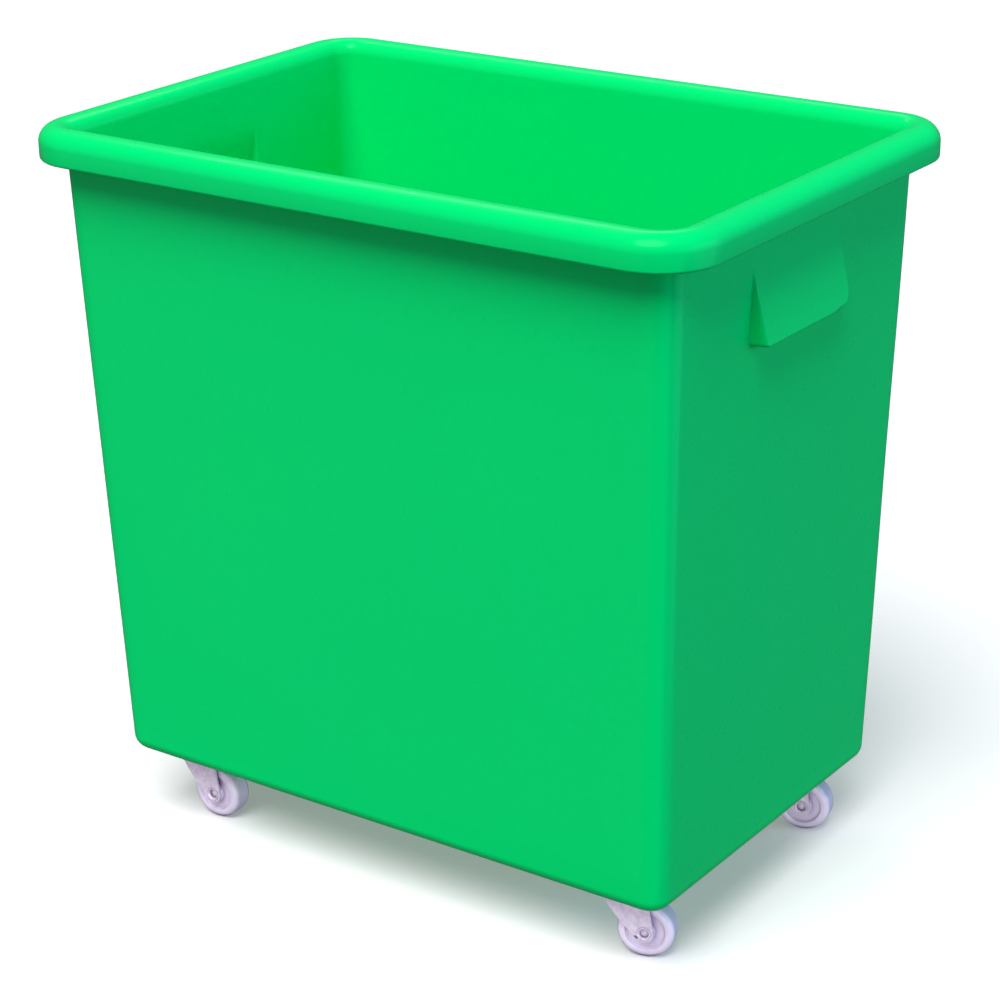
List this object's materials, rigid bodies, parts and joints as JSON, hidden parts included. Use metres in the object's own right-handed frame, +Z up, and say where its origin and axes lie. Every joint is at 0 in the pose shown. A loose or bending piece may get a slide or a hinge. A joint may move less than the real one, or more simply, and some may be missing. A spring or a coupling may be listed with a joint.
{
  "type": "moulded container truck",
  "caption": "Tapered rectangular plastic tub with a rolled rim and wedge hand-holds on its short ends, open at the top, on swivelling plate castors with nylon wheels.",
  "frame": {"origin": "on the floor, under the middle of the tub", "axes": "+Z up, +X along the length towards the end that the castor wheels trail to, give or take up to 18 degrees of swivel, +Y across the width towards the back"},
  "size_m": [0.68, 0.462, 0.672],
  "materials": {
    "tub_plastic": "satin waxy polyethylene",
    "wheel_nylon": "satin off-white nylon",
    "zinc_plate": "bright zinc plate",
    "insert_brass": "plain brass",
    "bolt_steel": "plain steel"
  },
  "bodies": {
    "truck": {"tub": "tub_plastic", "threaded_inserts": "insert_brass", "castor_bolts": "bolt_steel", "spring_washers": "zinc_plate", "plate_front_left": "zinc_plate", "ball_race_front_left": "bolt_steel", "kingpin_front_left": "bolt_steel", "kingpin_washer_front_left": "zinc_plate", "plate_front_right": "zinc_plate", "ball_race_front_right": "bolt_steel", "kingpin_front_right": "bolt_steel", "kingpin_washer_front_right": "zinc_plate", "plate_back_left": "zinc_plate", "ball_race_back_left": "bolt_steel", "kingpin_back_left": "bolt_steel", "kingpin_washer_back_left": "zinc_plate", "plate_back_right": "zinc_plate", "ball_race_back_right": "bolt_steel", "kingpin_back_right": "bolt_steel", "kingpin_washer_back_right": "zinc_plate"},
    "castor_front_left": {"fork_front_left": "zinc_plate", "axle_front_left": "zinc_plate", "sleeve_front_left": "bolt_steel"},
    "rolling_front_left": {"wheel_front_left": "wheel_nylon"},
    "castor_front_right": {"fork_front_right": "zinc_plate", "axle_front_right": "zinc_plate", "sleeve_front_right": "bolt_steel"},
    "rolling_front_right": {"wheel_front_right": "wheel_nylon"},
    "castor_back_left": {"fork_back_left": "zinc_plate", "axle_back_left": "zinc_plate", "sleeve_back_left": "bolt_steel"},
    "rolling_back_left": {"wheel_back_left": "wheel_nylon"},
    "castor_back_right": {"fork_back_right": "zinc_plate", "axle_back_right": "zinc_plate", "sleeve_back_right": "bolt_steel"},
    "rolling_back_right": {"wheel_back_right": "wheel_nylon"}
  },
  "joints": [
    {"name": "swivel_front_left", "type": "hinge", "parent": "truck", "child": "castor_front_left", "pos_m": [-0.237, -0.139, 0.058], "axis": [0, 0, 1], "continuous": true},
    {"name": "roll_front_left", "type": "hinge", "parent": "castor_front_left", "child": "rolling_front_left", "pos_m": [-0.2205, -0.13871, 0.0255], "axis": [-0.0175, 0.9998, 0], "continuous": true},
    {"name": "swivel_front_right", "type": "hinge", "parent": "truck", "child": "castor_front_right", "pos_m": [0.237, -0.139, 0.058], "axis": [0, 0, 1], "continuous": true},
    {"name": "roll_front_right", "type": "hinge", "parent": "castor_front_right", "child": "rolling_front_right", "pos_m": [0.25269, -0.1339, 0.0255], "axis": [-0.309, 0.9511, 0], "continuous": true},
    {"name": "swivel_back_left", "type": "hinge", "parent": "truck", "child": "castor_back_left", "pos_m": [-0.237, 0.139, 0.058], "axis": [0, 0, 1], "continuous": true},
    {"name": "roll_back_left", "type": "hinge", "parent": "castor_back_left", "child": "rolling_back_left", "pos_m": [-0.22066, 0.1413, 0.0255], "axis": [-0.1392, 0.9903, 0], "continuous": true},
    {"name": "swivel_back_right", "type": "hinge", "parent": "truck", "child": "castor_back_right", "pos_m": [0.237, 0.139, 0.058], "axis": [0, 0, 1], "continuous": true},
    {"name": "roll_back_right", "type": "hinge", "parent": "castor_back_right", "child": "rolling_back_right", "pos_m": [0.25304, 0.14285, 0.0255], "axis": [-0.2334, 0.9724, 0], "continuous": true}
  ]
}
